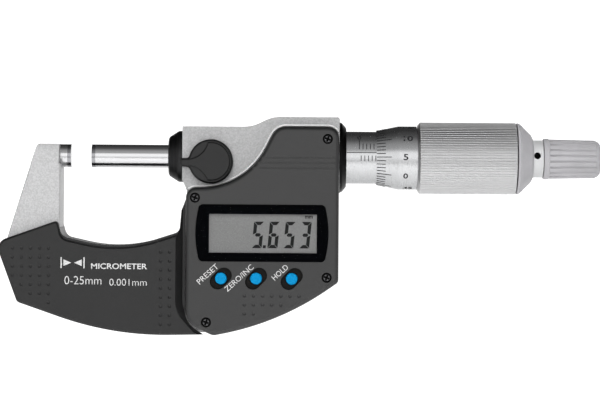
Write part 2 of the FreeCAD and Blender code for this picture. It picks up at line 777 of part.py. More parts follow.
def build_spindle():
    """Ground front, keyway for the rotor, screw part and rear seat for the thimble."""
    profile = (
        (GAP + TIP_LENGTH + SEAT, 0), (GAP + TIP_LENGTH + SEAT, SPINDLE_R), (80.0, SPINDLE_R),
        (80.0, SCREW_R), (112.2, SCREW_R), (112.2, 3.2), (118.5, 2.9), (121.0, 2.9), (121.0, 0),
    )
    spindle = turned(profile)
    keyway = box((67.0 - TRAVEL_OUT - 0.4, 69.0 + GAP + 0.4), (-0.7, 0.7), (2.15, 4.0))
    thread_hole = along_x(1.25, 113.0, 122.0)
    return spindle.cut(keyway).cut(thread_hole)


def build_spindle_tip():
    return along_x(SPINDLE_R, GAP, GAP + TIP_LENGTH)


def build_thimble():
    """Graduated thimble: thin bevelled edge, cone, cylinder, stepped seat for the grip."""
    profile = (
        (THIMBLE_EDGE, SLEEVE_R + 0.3), (THIMBLE_EDGE + 0.4, SLEEVE_R + 0.35), (90.1, THIMBLE_R),
        (KNURL_FROM - 0.25, THIMBLE_R), (KNURL_FROM - 0.25, 8.2), (121.6, 8.2), (121.6, 3.25),
        (118.4, 2.95), (112.8, 3.22), (112.8, 7.3), (THIMBLE_EDGE, SLEEVE_R + 0.1),
    )
    return turned(profile)


def build_grip():
    """Sleeve with fine straight ribs and a bevel at each end."""
    profile = (
        (KNURL_FROM, 8.22), (KNURL_FROM, 9.0), (KNURL_FROM + 0.7, KNURL_R), (KNURL_TO, KNURL_R),
        (KNURL_TO + 0.1, KNURL_R - 0.1), (KNURL_TO + 0.1, 8.22),
    )
    sleeve = turned(profile)
    groove = Part.makeCylinder(KNURL_GROOVE_R, 40, at(KNURL_FROM - 2, 0, KNURL_R + 0.03), X_AXIS)
    grooves = []
    for index in range(KNURL_COUNT):
        copy = groove.copy()
        copy.rotate(at(0, 0, 0), X_AXIS, index * 360.0 / KNURL_COUNT)
        grooves.append(copy)
    return sleeve.cut(Part.makeCompound(grooves))


def build_end_cap():
    """Light plastic cap: short cylinder, cone and round lip down to the neck."""
    profile = (
        (122.75, NECK_R + SEAT), (122.75, 9.75), (123.0, 9.82), (123.3, 9.75), (124.25, 9.0),
        (124.5, 8.7), (126.6, 6.6), (127.0, 5.9), (127.2, NECK_R + 0.25),
        (127.2, NECK_R + SEAT),
    )
    return turned(profile)


def build_neck():
    """Metal neck behind the cap with a spanner hole and the ratchet's shaft."""
    profile = (
        (121.8, 0), (121.8, 7.0), (122.7, 7.0), (122.7, NECK_R), (129.9, NECK_R), (129.9, 2.3),
        (140.0, 2.3), (140.0, 0),
    )
    neck = turned(profile)
    hole = Part.makeCylinder(0.95, 4, at(128.2, -NECK_R - 1, 0.8), Y_AXIS)
    return neck.cut(hole).cut(along_x(1.6, 121.0, 141.0))


def build_ratchet_screw():
    shank = along_x(1.22, 114.5, 140.2)
    head = along_x(2.2, 140.2, 141.4)
    slot = box((140.9, 142), (-3, 3), (-0.25, 0.25))
    return shank.fuse(head).cut(slot).removeSplitter()


def toothed_ring(body_span, tooth_span, outer, inner):
    """Ring about the X axis with square teeth on one end face."""
    ring = ring_x(outer, inner, *body_span)
    teeth = []
    for index in range(RATCHET_TEETH):
        tooth = box(tooth_span, (-0.45, 0.45), (inner + 0.05, outer - 0.05))
        tooth.rotate(at(0, 0, 0), X_AXIS, index * 360.0 / RATCHET_TEETH)
        teeth.append(tooth)
    return ring.fuse(teeth).removeSplitter()


def build_ratchet_wheel():
    return toothed_ring((130.9, 132.2), (132.2, 132.7), 3.9, 2.32)


def build_click_wheel():
    return toothed_ring((133.6, 134.9), (133.0, 133.6), 4.0, 2.4)


def build_ratchet_spring():
    """Light compression spring behind the click wheel."""
    helix = Part.makeHelix(1.1, 4.2, 3.2)
    section = Part.Wire(Part.makeCircle(0.25, at(3.2, 0, 0), Y_AXIS))
    coil = Part.Wire(helix).makePipeShell([section], True, True)
    coil.rotate(at(0, 0, 0), Y_AXIS, 90)
    coil.translate(at(135.3, 0, 0))
    return coil


def build_knob():
    """Ribbed knob, hollow, with a thin flange at the neck and a rounded end."""
    profile = (
        (KNOB_FROM, NECK_R - 0.6), (KNOB_FROM, 5.45), (KNOB_FROM + 0.2, 5.62),
        (KNOB_FROM + 1.3, 5.62), (KNOB_FROM + 1.5, 5.42), (144.2, KNOB_R), (145.2, KNOB_R - 0.5),
        (145.75, 4.0), (KNOB_TO, 2.8), (KNOB_TO, 0), (143.0, 0), (143.0, 4.1),
        (KNOB_FROM + 0.6, 4.1), (KNOB_FROM + 0.6, NECK_R - 0.6),
    )
    knob = turned(profile)
    side = (-GROOVE_SIDE / 2, GROOVE_SIDE / 2)
    groove = box((KNOB_FROM + 1.6, 145.5), side, side)
    groove.rotate(at(0, 0, 0), X_AXIS, 45)
    groove.translate(at(0, 0, KNOB_R + 0.1))
    grooves = []
    for index in range(KNOB_RIBS):
        copy = groove.copy()
        copy.rotate(at(0, 0, 0), X_AXIS, (index + 0.5) * 360.0 / KNOB_RIBS)
        grooves.append(copy)
    return knob.cut(Part.makeCompound(grooves))


# ---------------------------------------------------------------- assembly

def build_all():
    nodes = {
        "frame": build_frame(),
        "spindle_bush": build_bush(),
        "seal_ring": build_seal_ring(),
        "wiper_seal": build_wiper(),
        "inner_barrel": build_barrel(),
        "adjusting_nut": build_adjusting_nut(),
        "scale_sleeve": build_sleeve(),
        "rear_collar": build_rear_collar(),
        "collar_o_ring": build_collar_o_ring(),
        "display_housing": build_display_housing(),
        "housing_gasket": build_gasket(),
        "rear_housing": build_rear_housing(),
        "display_window": build_window(),
        "display_mask": build_mask(),
        "lcd_panel": build_lcd(),
        "lcd_strips": build_lcd_strips(),
        "circuit_board": build_board(),
        "circuit_chips": build_chips(),
        "encoder_stator": build_stator(),
        "keypad_mat": build_keypad(),
        "front_screws": build_front_screws(),
        "rear_screws": build_rear_screws(),
        "battery": build_battery(),
        "battery_contacts": build_battery_contacts(),
        "battery_cap": build_battery_cap(),
        "battery_cap_seal": build_cap_seal(),
        "lock_washer": build_lock_washer(),
        "lock_pad": build_lock_pad(),
        "lock_lever": build_lock_lever(),
        "lock_screw": build_lock_screw(),
        "encoder_rotor": build_rotor(),
        "rotor_hub": build_rotor_hub(),
        "rotor_key": build_rotor_key(),
        "spindle": build_spindle(),
        "spindle_tip": build_spindle_tip(),
        "thimble": build_thimble(),
        "thimble_grip": build_grip(),
        "end_cap": build_end_cap(),
        "ratchet_neck": build_neck(),
        "ratchet_wheel": build_ratchet_wheel(),
        "ratchet_screw": build_ratchet_screw(),
        "ratchet_knob": build_knob(),
        "click_wheel": build_click_wheel(),
        "ratchet_spring": build_ratchet_spring(),
    }
    nodes.update(build_anvil())
    nodes.update(build_grip_covers())
    for name, x, z in BUTTONS:
        nodes[name] = build_button(x, z)
    return nodes


os.makedirs("parts", exist_ok=True)
for name, shape in sorted(build_all().items()):
    shape.exportStep("parts/" + name + ".step")
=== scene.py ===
import math

import bmesh
import bpy
from mathutils import Matrix, Vector


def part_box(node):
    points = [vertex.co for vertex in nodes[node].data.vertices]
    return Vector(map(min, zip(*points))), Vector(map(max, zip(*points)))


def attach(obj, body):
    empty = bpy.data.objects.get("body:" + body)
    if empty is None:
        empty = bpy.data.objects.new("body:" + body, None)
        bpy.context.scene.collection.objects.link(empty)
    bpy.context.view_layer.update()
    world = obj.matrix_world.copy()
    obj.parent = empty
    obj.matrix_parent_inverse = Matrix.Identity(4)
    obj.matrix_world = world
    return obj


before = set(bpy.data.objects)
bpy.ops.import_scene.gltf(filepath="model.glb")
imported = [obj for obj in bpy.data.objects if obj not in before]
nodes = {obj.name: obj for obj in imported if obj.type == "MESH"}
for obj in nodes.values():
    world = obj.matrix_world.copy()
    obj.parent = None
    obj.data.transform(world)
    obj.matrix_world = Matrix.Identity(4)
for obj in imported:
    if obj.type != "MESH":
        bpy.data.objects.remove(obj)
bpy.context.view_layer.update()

MM = 0.001


# ------------------------------------------------------------------ material tools

def set_range(node, start, end, low=0.0, high=1.0):
    node.inputs["From Min"].default_value = start
    node.inputs["From Max"].default_value = end
    node.inputs["To Min"].default_value = low
    node.inputs["To Max"].default_value = high


class Look:
    """A Principled material whose textures use the object's own millimetres."""

    def __init__(self, name, color, roughness, metallic=0.0):
        self.material = bpy.data.materials.new(name)
        self.material.use_nodes = True
        self.tree = self.material.node_tree
        self.shader = self.tree.nodes["Principled BSDF"]
        self.color = color
        self.roughness = roughness
        self.shader.inputs["Base Color"].default_value = (*color, 1)
        self.shader.inputs["Roughness"].default_value = roughness
        self.shader.inputs["Metallic"].default_value = metallic
        self.height = None

    def add(self, kind, **values):
        node = self.tree.nodes.new(kind)
        for key, value in values.items():
            setattr(node, key, value)
        return node

    def link(self, out, into):
        self.tree.links.new(out, into)

    def millimetres(self, stretch=(1, 1, 1)):
        place = self.add("ShaderNodeTexCoord")
        mapping = self.add("ShaderNodeMapping")
        mapping.inputs["Scale"].default_value = [s / MM for s in stretch]
        self.link(place.outputs["Object"], mapping.inputs["Vector"])
        return mapping.outputs["Vector"]

    def noise(self, per_mm, detail=2.0, stretch=(1, 1, 1), rough=0.5):
        texture = self.add("ShaderNodeTexNoise")
        texture.inputs["Scale"].default_value = per_mm
        texture.inputs["Detail"].default_value = detail
        texture.inputs["Roughness"].default_value = rough
        self.link(self.millimetres(stretch), texture.inputs["Vector"])
        return texture.outputs["Fac"]

    def cells(self, per_mm):
        texture = self.add("ShaderNodeTexVoronoi", feature="SMOOTH_F1")
        texture.inputs["Scale"].default_value = per_mm
        self.link(self.millimetres(), texture.inputs["Vector"])
        return texture.outputs["Distance"]

    def spread(self, value, low, high, start=0.3, end=0.7, easing="LINEAR"):
        """Maps start..end to low..high."""
        step = self.add("ShaderNodeMapRange", interpolation_type=easing)
        set_range(step, start, end, low, high)
        self.link(value, step.inputs["Value"])
        return step.outputs["Result"]

    def vary_color(self, value, dark, light, start=0.3, end=0.7):
        """Base colour between dark and light times the material's own colour."""
        ramp = self.add("ShaderNodeValToRGB")
        ramp.color_ramp.elements[0].position = start
        ramp.color_ramp.elements[1].position = end
        ramp.color_ramp.elements[0].color = (*[min(1, c * dark) for c in self.color], 1)
        ramp.color_ramp.elements[1].color = (*[min(1, c * light) for c in self.color], 1)
        self.link(value, ramp.inputs["Fac"])
        self.link(ramp.outputs["Color"], self.shader.inputs["Base Color"])

    def shade(self, value):
        """Multiplies the base colour by a grey value."""
        mix = self.add("ShaderNodeMix", data_type="RGBA", blend_type="MULTIPLY")
        mix.inputs["Factor"].default_value = 1.0
        base = self.shader.inputs["Base Color"]
        self.link(base.links[0].from_socket, mix.inputs[6])
        self.link(value, mix.inputs[7])
        self.link(mix.outputs[2], base)

    def along(self, axis):
        """The object's own coordinate on one axis, in metres."""
        place = self.add("ShaderNodeTexCoord")
        parts = self.add("ShaderNodeSeparateXYZ")
        self.link(place.outputs["Object"], parts.inputs[0])
        return parts.outputs[axis]

    def vary_roughness(self, value, amount):
        result = self.spread(value, self.roughness - amount, self.roughness + amount)
        self.link(result, self.shader.inputs["Roughness"])

    def bump(self, value, depth_mm, strength=1.0):
        node = self.add("ShaderNodeBump")
        node.inputs["Distance"].default_value = depth_mm * MM
        node.inputs["Strength"].default_value = strength
        self.link(value, node.inputs["Height"])
        if self.height:
            self.link(self.height, node.inputs["Normal"])
        self.height = node.outputs["Normal"]
        self.link(self.height, self.shader.inputs["Normal"])

    def set(self, **values):
        for key, value in values.items():
            self.shader.inputs[key.replace("_", " ")].default_value = value
        return self


# ------------------------------------------------------------------ materials

def enamel():
    """Light grey speckled enamel of the casting, with painted shade that darkens it by up to 19
    percent along X from the arm towards the block.
    """
    look = Look("speckled_enamel_painted_shade", (0.56, 0.56, 0.565), 0.46, 0.05)
    speckle = look.noise(2.4, 3.0, rough=0.6)
    look.vary_color(speckle, 0.82, 1.09, 0.36, 0.66)
    # Painted shade: the base colour falls from 1.0 to 0.81 between X = -1 mm and X = 32 mm, darker
    # towards the block.
    look.shade(look.spread(look.along("X"), 1.0, 0.81, -0.001, 0.032))
    look.vary_roughness(look.noise(1.1), 0.08)
    look.bump(look.noise(1.5, 2.0), 0.03)
    look.bump(speckle, 0.014)
    return look.set(Coat_Weight=0.12, Coat_Roughness=0.3).material


def moulded(name, color, roughness=0.5, grain=7.0, depth=0.006, gloss=0.3):
    """Fine-grained moulded plastic with faint flow variation."""
    look = Look(name, color, roughness)
    look.set(Specular_IOR_Level=gloss)
    look.vary_color(look.noise(0.12, 3.0), 0.9, 1.1)
    look.vary_roughness(look.noise(1.7), 0.05)
    look.bump(look.cells(grain), depth)
    return look.material


def rubber(name, color=(0.006, 0.0055, 0.005)):
    look = Look(name, color, 0.62)
    look.set(Specular_IOR_Level=0.15)
    look.vary_color(look.noise(2.0), 0.8, 1.3)
    look.bump(look.noise(9.0), 0.005)
    return look.material


def turned_metal(name, color, roughness, depth=0.0015, tone=0.05, lines=14.0, metallic=1.0):
    """Metal finished on a lathe: fine rings around the X axis."""
    look = Look(name, color, roughness, metallic)
    rings = look.noise(lines, 3.0, (1, 0.02, 0.02), 0.7)
    look.vary_color(rings, 1 - tone, 1 + tone)
    look.vary_roughness(look.noise(lines * 0.5, 2.0, (1, 0.05, 0.05)), roughness * 0.15)
    look.bump(rings, depth)
    return look.material


def plain_metal(name, color, roughness, metallic=1.0):
    """Metal with a fine random grain and faint handling marks."""
    look = Look(name, color, roughness, metallic)
    look.vary_color(look.noise(0.8, 4.0), 0.93, 1.05)
    look.vary_roughness(look.noise(3.0, 3.0), roughness * 0.25)
    look.bump(look.noise(12.0), 0.001)
    return look.material


def window_glass():
    look = Look("window_glass", (0.004, 0.005, 0.006), 0.05)
    look.vary_roughness(look.noise(0.5), 0.01)
    look.bump(look.noise(0.25), 0.0006)
    return look.set(Alpha=0.06, Specular_IOR_Level=0.02).material


def lcd_ground():
    """Grey polariser with a fine mottle."""
    look = Look("lcd_ground", (0.262, 0.264, 0.262), 0.5)
    look.set(Specular_IOR_Level=0.1)
    look.vary_color(look.noise(2.6, 3.0), 0.9, 1.1)
    look.bump(look.noise(6.0), 0.002)
    return look.material


def ink(name, color, roughness=0.5, gloss=0.2):
    look = Look(name, color, roughness)
    look.set(Specular_IOR_Level=gloss)
    look.vary_color(look.noise(5.0), 0.85, 1.1)
    look.bump(look.noise(14.0), 0.001)
    return look.material


def solder_mask():
    look = Look("solder_mask", (0.02, 0.13, 0.05), 0.35)
    look.vary_color(look.noise(0.9, 2.0, (1, 1, 0.2)), 0.7, 1.3, 0.45, 0.55)
    look.bump(look.noise(1.2), 0.01)
    return look.material


def button_blue():
    look = Look("button_blue", (0.0025, 0.255, 0.55), 0.46)
    look.set(Specular_IOR_Level=0.08)
    look.vary_color(look.noise(1.4), 0.9, 1.12)
    look.bump(look.noise(6.0), 0.004)
    return look.material


MATERIALS = {
    "enamel": enamel(),
    "cover_plastic": moulded("cover_plastic", (0.0062, 0.0062, 0.0064), 0.40, gloss=0.54),
    # Painted light: a lighter copy of the cover plastic (0.022 against 0.0062), used on the sloped
    # flank of the front cover beside the case.
    "flank_painted_light_plastic": moulded("flank_painted_light_plastic", (0.022, 0.022, 0.0225), 0.40, gloss=0.54),
    "case_plastic": moulded("case_plastic", (0.008, 0.008, 0.0082), 0.38, gloss=0.80),
    "lever_plastic": moulded("lever_plastic", (0.005, 0.005, 0.0051), 0.40, gloss=0.50),
    "light_plastic": moulded("light_plastic", (0.47, 0.463, 0.482), 0.48, 6.0, 0.005),
    "rubber": rubber("black_rubber"),
    "black_ring": turned_metal("black_ring", (0.012, 0.012, 0.0125), 0.38, 0.004, 0.2, 7.0),
    "nose_ring": turned_metal("nose_ring", (0.04, 0.04, 0.041), 0.42, 0.006, 0.25, 5.0),
    "satin": turned_metal("satin_chrome", (0.62, 0.625, 0.635), 0.26, 0.0007, 0.025),
    "bright_neck": turned_metal("bright_neck", (0.66, 0.665, 0.67), 0.40, 0.0007, 0.025,
                                metallic=0.15),
    # Painted highlight: a near-white, partly metallic finish for the bead round the case, so that it
    # shows as a bright line along the edge.
    "bead_painted_highlight": plain_metal("bead_painted_highlight", (0.93, 0.93, 0.93), 0.45, 0.3),
    "knurl": turned_metal("knurled_chrome", (0.62, 0.62, 0.625), 0.36, 0.0012, 0.03),
    "ground": turned_metal("ground_steel", (0.70, 0.70, 0.71), 0.16, 0.0004, 0.03, 20.0),
    "carbide": turned_metal("lapped_carbide", (0.36, 0.36, 0.375), 0.14, 0.0004),
    "bronze": turned_metal("bearing_bronze", (0.45, 0.27, 0.12), 0.3),
    "glass": window_glass(),
    "mask": ink("window_print", (0.0008, 0.0010, 0.0016), 0.5, 0.02),
    "lcd": lcd_ground(),
    "board": solder_mask(),
    "chip": moulded("chip_resin", (0.02, 0.02, 0.021), 0.55, 9.0),
    "copper": plain_metal("etched_copper", (0.66, 0.36, 0.16), 0.34),
    "blue": button_blue(),
    "black_screw": plain_metal("black_oxide", (0.11, 0.11, 0.115), 0.3, 1.0),
    "hole_shade": rubber("hole_shade", (0.002, 0.002, 0.002)),
    "nickel": plain_metal("nickel_plate", (0.66, 0.65, 0.62), 0.25),
    "spring": plain_metal("spring_wire", (0.5, 0.5, 0.51), 0.28),
}

NODE_LOOKS = {
    "enamel": ["frame"],
    "cover_plastic": ["front_grip_cover", "rear_grip_cover"],
    "case_plastic": ["display_housing", "rear_housing", "battery_cap"],
    "lever_plastic": ["lock_lever"],
    "light_plastic": ["end_cap", "ratchet_knob"],
    "rubber": ["wiper_seal", "collar_o_ring", "housing_gasket", "lcd_strips", "keypad_mat",
               "lock_washer", "battery_cap_seal"],
    "black_ring": ["rear_collar"],
    "nose_ring": ["seal_ring"],
    "satin": ["scale_sleeve", "thimble"],
    "bright_neck": ["ratchet_neck"],
    "knurl": ["thimble_grip"],
    "ground": ["anvil", "spindle", "inner_barrel", "adjusting_nut", "rotor_hub", "rotor_key",
               "ratchet_wheel", "click_wheel", "ratchet_screw", "lock_screw"],
    "carbide": ["anvil_tip", "spindle_tip"],
    "bronze": ["spindle_bush", "lock_pad"],
    "glass": ["display_window"],
    "mask": ["display_mask"],
    "lcd": ["lcd_panel"],
    "board": ["circuit_board"],
    "chip": ["circuit_chips"],
    "copper": ["encoder_rotor", "encoder_stator"],
    "blue": ["left_button", "middle_button", "right_button"],
    "black_screw": ["front_screws", "rear_screws"],
    "nickel": ["battery"],
    "spring": ["battery_contacts", "ratchet_spring"],
}


def dress(node, material):
    """Gives every face of a CAD node one material."""
    mesh = nodes[node].data
    mesh.materials.clear()
    mesh.materials.append(material)
    for face in mesh.polygons:
        face.material_index = 0


for look, names in NODE_LOOKS.items():
    for name in names:
        dress(name, MATERIALS[look])


# ------------------------------------------------------------------ second looks on some faces

FRONT_SCREWS = ((34.59, -11.34), (70.47, -32.83), (37.82, -45.17), (70.53, 4.82))
SCREW_HOLE_R = 1.45
RECESS_R = 0.85
RECESS_FRONT = -12.82
RECESS_BACK = -12.0
CASE_SKIN = -12.95
SPANNER_HOLE = (128.2, 0.8)
SPANNER_HOLE_R = 0.97
NECK_R = 4.0
FLANK_LEFT = 28.0
FLANK_TOP = -17.0
BEAD_LEFT = 30.0
BEAD_FRONT = -9.5
BEAD_BACK = -9.02


def off(place, centre):
    """Distance from an axis along Y, in millimetres."""
    return math.hypot(place.x - centre[0], place.z - centre[1])


def in_spanner_hole(face):
    place = face.center / MM
    deep = math.hypot(place.y, place.z) < NECK_R
    return deep and place.y < -NECK_R / 2 and off(place, SPANNER_HOLE) < SPANNER_HOLE_R


def in_screw_hole(face):
    place = face.center / MM
    near = any(off(place, centre) < SCREW_HOLE_R for centre in FRONT_SCREWS)
    return near and place.y > CASE_SKIN


def in_recess(face):
    place = face.center / MM
    near = any(off(place, centre) < RECESS_R for centre in FRONT_SCREWS)
    return near and RECESS_FRONT < place.y < RECESS_BACK


def on_flank(face):
    place = face.center / MM
    sloped = face.normal.x > 0.3 and face.normal.y < -0.5
    return sloped and place.x > FLANK_LEFT and place.z < FLANK_TOP


def on_bead(face):
    place = face.center / MM
    return place.x > BEAD_LEFT and BEAD_FRONT < place.y < BEAD_BACK


def second_look(node, material, chosen):
    """Gives the faces picked by a test a second material."""
    mesh = nodes[node].data
    mesh.materials.append(MATERIALS[material])
    for face in mesh.polygons:
        if chosen(face):
            face.material_index = 1


second_look("ratchet_neck", "hole_shade", in_spanner_hole)
second_look("display_housing", "hole_shade", in_screw_hole)
second_look("front_screws", "hole_shade", in_recess)
# Painted light: the sloped flank of the front cover gets the lighter copy of the cover plastic.
second_look("front_grip_cover", "flank_painted_light_plastic", on_flank)
# Painted highlight: the bead faces of the frame get the near-white finish.
second_look("frame", "bead_painted_highlight", on_bead)


# ------------------------------------------------------------------ printing and marks

def finish_piece(name, mesh, body, material, thickness=0.0):
    """Adds a mesh to the scene as a piece that moves with a body."""
    piece = bpy.data.objects.new(name, mesh)
    bpy.context.scene.collection.objects.link(piece)
    mesh.materials.clear()
    mesh.materials.append(MATERIALS[material])
    if thickness:
        solid = piece.modifiers.new("thickness", "SOLIDIFY")
        solid.thickness = thickness * MM
        solid.offset = -1
    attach(piece, body)
    return piece


def text_mesh(name, words, depth=0.02, bold=0.0):
    """Flat words as a closed mesh in millimetres, lower left corner at the origin."""
    curve = bpy.data.curves.new(name, "FONT")
    curve.body = words
    curve.size = 1.0
    curve.extrude = depth / 2
    curve.offset = bold
    curve.resolution_u = 4
    holder = bpy.data.objects.new(name, curve)
    bpy.context.scene.collection.objects.link(holder)
    bpy.context.view_layer.update()
    graph = bpy.context.evaluated_depsgraph_get()
    mesh = bpy.data.meshes.new_from_object(holder.evaluated_get(graph))
    bpy.data.objects.remove(holder)
    low_x = min(v.co.x for v in mesh.vertices)
    low_y = min(v.co.y for v in mesh.vertices)
    mesh.transform(Matrix.Translation((-low_x, -low_y, 0)))
    return mesh


def fit_text(mesh, width, height):
    """Scales words in their own plane to a width and a height in millimetres."""
    wide = max(v.co.x for v in mesh.vertices)
    tall = max(v.co.y for v in mesh.vertices)
    mesh.transform(Matrix.Diagonal((width / wide, height / tall, 1, 1)))


def print_words(name, words, x, z, y, width, height, body, material, angle=0.0, bold=0.0):
    """Words on a face that looks to -Y; x and z are the lower left corner in millimetres."""
    mesh = text_mesh(name, words, bold=bold)
    fit_text(mesh, width, height)
    mesh.transform(Matrix.Rotation(math.radians(angle), 4, "Z"))
    mesh.transform(Matrix.Rotation(math.radians(90), 4, "X"))
    mesh.transform(Matrix.Translation((x, y - 0.005, z)))
    mesh.transform(Matrix.Scale(MM, 4))
    return finish_piece(name, mesh, body, material)


def on_round(x, radius, angle):
    """Point at an angle above the front of a cylinder about the X axis, in metres."""
    return Vector((x, -radius * math.cos(angle), radius * math.sin(angle))) * MM


def wrap_words(name, words, x, angle, radius, width, height, body, material):
    """Words bent round the X axis, centred at an angle in degrees above the front."""
    mesh = text_mesh(name, words, bold=0.02)
    fit_text(mesh, width, height)
    for vertex in mesh.vertices:
        lift = radius + 0.02 + vertex.co.z
        turn = math.radians(angle) + (vertex.co.y - height / 2) / radius
        vertex.co = on_round(x + vertex.co.x, lift, turn)
    return finish_piece(name, mesh, body, material)


def axial_line(bm, x_from, x_to, angle, half_width, radius_at, steps=1):
    """Thin line along X on a turned surface."""
    rows = []
    for step in range(steps + 1):
        x = x_from + (x_to - x_from) * step / steps
        radius = radius_at(x) + 0.02
        reach = half_width / radius
        rows.append([bm.verts.new(on_round(x, radius, angle + side * reach)) for side in (-1, 1)])
    for first, second in zip(rows, rows[1:]):
        bm.faces.new((first[0], second[0], second[1], first[1]))


def round_line(bm, x, angle_from, angle_to, half_width, radius, steps=4):
    """Thin line around the X axis on a cylinder."""
    rows = []
    for step in range(steps + 1):
        angle = angle_from + (angle_to - angle_from) * step / steps
        rows.append([bm.verts.new(on_round(x + side * half_width, radius + 0.02, angle))
                     for side in (-1, 1)])
    for first, second in zip(rows, rows[1:]):
        bm.faces.new((first[0], first[1], second[1], second[0]))


def mesh_from(bm, name):
    mesh = bpy.data.meshes.new(name)
    bmesh.ops.recalc_face_normals(bm, faces=bm.faces)
    bm.to_mesh(mesh)
    bm.free()
    return mesh


sleeve_low, sleeve_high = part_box("scale_sleeve")
thimble_low, thimble_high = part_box("thimble")
SLEEVE_R = sleeve_high.z / MM
THIMBLE_R = thimble_high.z / MM
THIMBLE_EDGE = thimble_low.x / MM
EDGE_R = SLEEVE_R + 0.35
CONE_END = 90.1
INDEX_ANGLE = 10.4
SCALE_ZERO = THIMBLE_EDGE - 4.71
FIVE_ANGLE = 0.8


def thimble_radius(x):
    share = (x - THIMBLE_EDGE - 0.4) / (CONE_END - THIMBLE_EDGE - 0.4)
    return EDGE_R + (THIMBLE_R - EDGE_R) * min(1.0, max(0.0, share))


def sleeve_marks():
    """Index line, whole millimetres above it, half millimetres below it."""
    bm = bmesh.new()
    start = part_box("rear_collar")[1].x / MM + 0.05
    axial_line(bm, start, SCALE_ZERO + 26.5, math.radians(INDEX_ANGLE), 0.10, lambda x: SLEEVE_R)
    for index in range(26):
        top = 41.5 if index % 5 == 0 else 31.5
        round_line(bm, SCALE_ZERO + index, math.radians(17.8), math.radians(top), 0.11, SLEEVE_R)
        if index < 25:
            round_line(bm, SCALE_ZERO + index + 0.5, math.radians(-8.2), math.radians(4.0), 0.10,
                       SLEEVE_R)
    mesh = mesh_from(bm, "sleeve_marks")
    finish_piece("sleeve_marks", mesh, "frame", "ink", 0.015)
    for number in range(0, 26, 5):
        words = str(number)
        width = 1.05 * len(words)
        wrap_words("sleeve_number_" + words, words, SCALE_ZERO + number - width / 2, 49.0, SLEEVE_R,
                   width, 1.6, "frame", "ink")


def thimble_marks():
    """Fifty divisions, every fifth one longer and numbered."""
    bm = bmesh.new()
    for index in range(50):
        angle = math.radians(FIVE_ANGLE + 7.2 * (index - 5))
        length = 4.1 if index % 5 == 0 else 2.5
        axial_line(bm, THIMBLE_EDGE + 0.1, THIMBLE_EDGE + length, angle, 0.11, thimble_radius, 4)
    mesh = mesh_from(bm, "thimble_marks")
    finish_piece("thimble_marks", mesh, "spindle", "ink", 0.015)
    for number in range(0, 50, 5):
        words = str(number)
        width = 1.3 * len(words)
        wrap_words("thimble_number_" + words, words, 91.3, FIVE_ANGLE + 7.2 * (number - 5), THIMBLE_R,
                   width, 1.7, "spindle", "ink")


# ------------------------------------------------------------------ display

SEGMENTS = {"5": "afgcd", "6": "afgcde", "3": "abgcd"}
DIGIT_W = 2.75
DIGIT_H = 7.2
STROKE = 0.92
DIGIT_PITCH = 4.3
SLANT = math.tan(math.radians(5.5))
BORDER_WIDTH = 1.6


def bar(bm, points, y):
    """Flat polygon on the LCD, slanted like the digits."""
    bm.faces.new([bm.verts.new((x * MM, y * MM, z * MM)) for x, z in points])


def segment_points(name):
    """Outline of one of the seven bars, lower left corner of the digit at the origin."""
    w, h, s = DIGIT_W, DIGIT_H, STROKE
    half = h / 2
    gap = 0.09
    rows = {
        "a": [(gap, h), (w - gap, h), (w - s, h - s), (s, h - s)],
        "d": [(gap, 0), (w - gap, 0), (w - s, s), (s, s)],
        "g": [(s * 0.6, half), (s, half + s / 2), (w - s, half + s / 2), (w - s * 0.6, half),
              (w - s, half - s / 2), (s, half - s / 2)],
        "f": [(0, h - gap), (0, half + gap), (s, half + s / 2 + gap), (s, h - s - gap)],
        "b": [(w, h - gap), (w, half + gap), (w - s, half + s / 2 + gap), (w - s, h - s - gap)],
        "e": [(0, gap), (0, half - gap), (s, half - s / 2 - gap), (s, s + gap)],
        "c": [(w, gap), (w, half - gap), (w - s, half - s / 2 - gap), (w - s, s + gap)],
    }
    return rows[name]


def lcd_digits():
    low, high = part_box("lcd_panel")
    face = low.y / MM - 0.03
    left = 50.0
    base = -24.95
    bm = bmesh.new()
    for place, digit in enumerate("5653"):
        for name in SEGMENTS[digit]:
            shape = [(left + place * DIGIT_PITCH + x + z * SLANT, base + z)
                     for x, z in segment_points(name)]
            bar(bm, shape, face)
    dot = left + DIGIT_W + 0.33
    bar(bm, [(dot, base), (dot + 0.8, base), (dot + 0.84, base + 0.8), (dot + 0.04, base + 0.8)],
        face)
    mesh = mesh_from(bm, "lcd_digits")
    finish_piece("lcd_digits", mesh, "frame", "segments", 0.012)
    print_words("lcd_unit", "mm", 64.5, -16.85, face, 2.1, 0.85, "frame", "segments",
                bold=0.03)


def window_border():
    """Black print under the rim of the window, following the window's own outline."""
    window = nodes["display_window"].data
    low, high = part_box("display_window")
    outline = [v.co.copy() for v in window.vertices if v.co.y > high.y - 0.01 * MM]
    middle = (low + high) / 2
    outline.sort(key=lambda p: math.atan2(p.z - middle.z, p.x - middle.x))
    shrink_x = 1 - BORDER_WIDTH * MM / (high.x - middle.x)
    shrink_z = 1 - BORDER_WIDTH * MM / (high.z - middle.z)
    bm = bmesh.new()
    rows = []
    for point in outline:
        inner = Vector((middle.x + (point.x - middle.x) * shrink_x, 0,
                        middle.z + (point.z - middle.z) * shrink_z))
        rows.append([bm.verts.new((p.x, high.y - 0.02 * MM, p.z)) for p in (point, inner)])
    for first, second in zip(rows, rows[1:] + rows[:1]):
        if (first[0].co - second[0].co).length > 0.001 * MM:
            bm.faces.new((first[0], first[1], second[1], second[0]))
    mesh = mesh_from(bm, "window_border")
    finish_piece("window_border", mesh, "frame", "mask", 0.01)


# ------------------------------------------------------------------ words on the covers

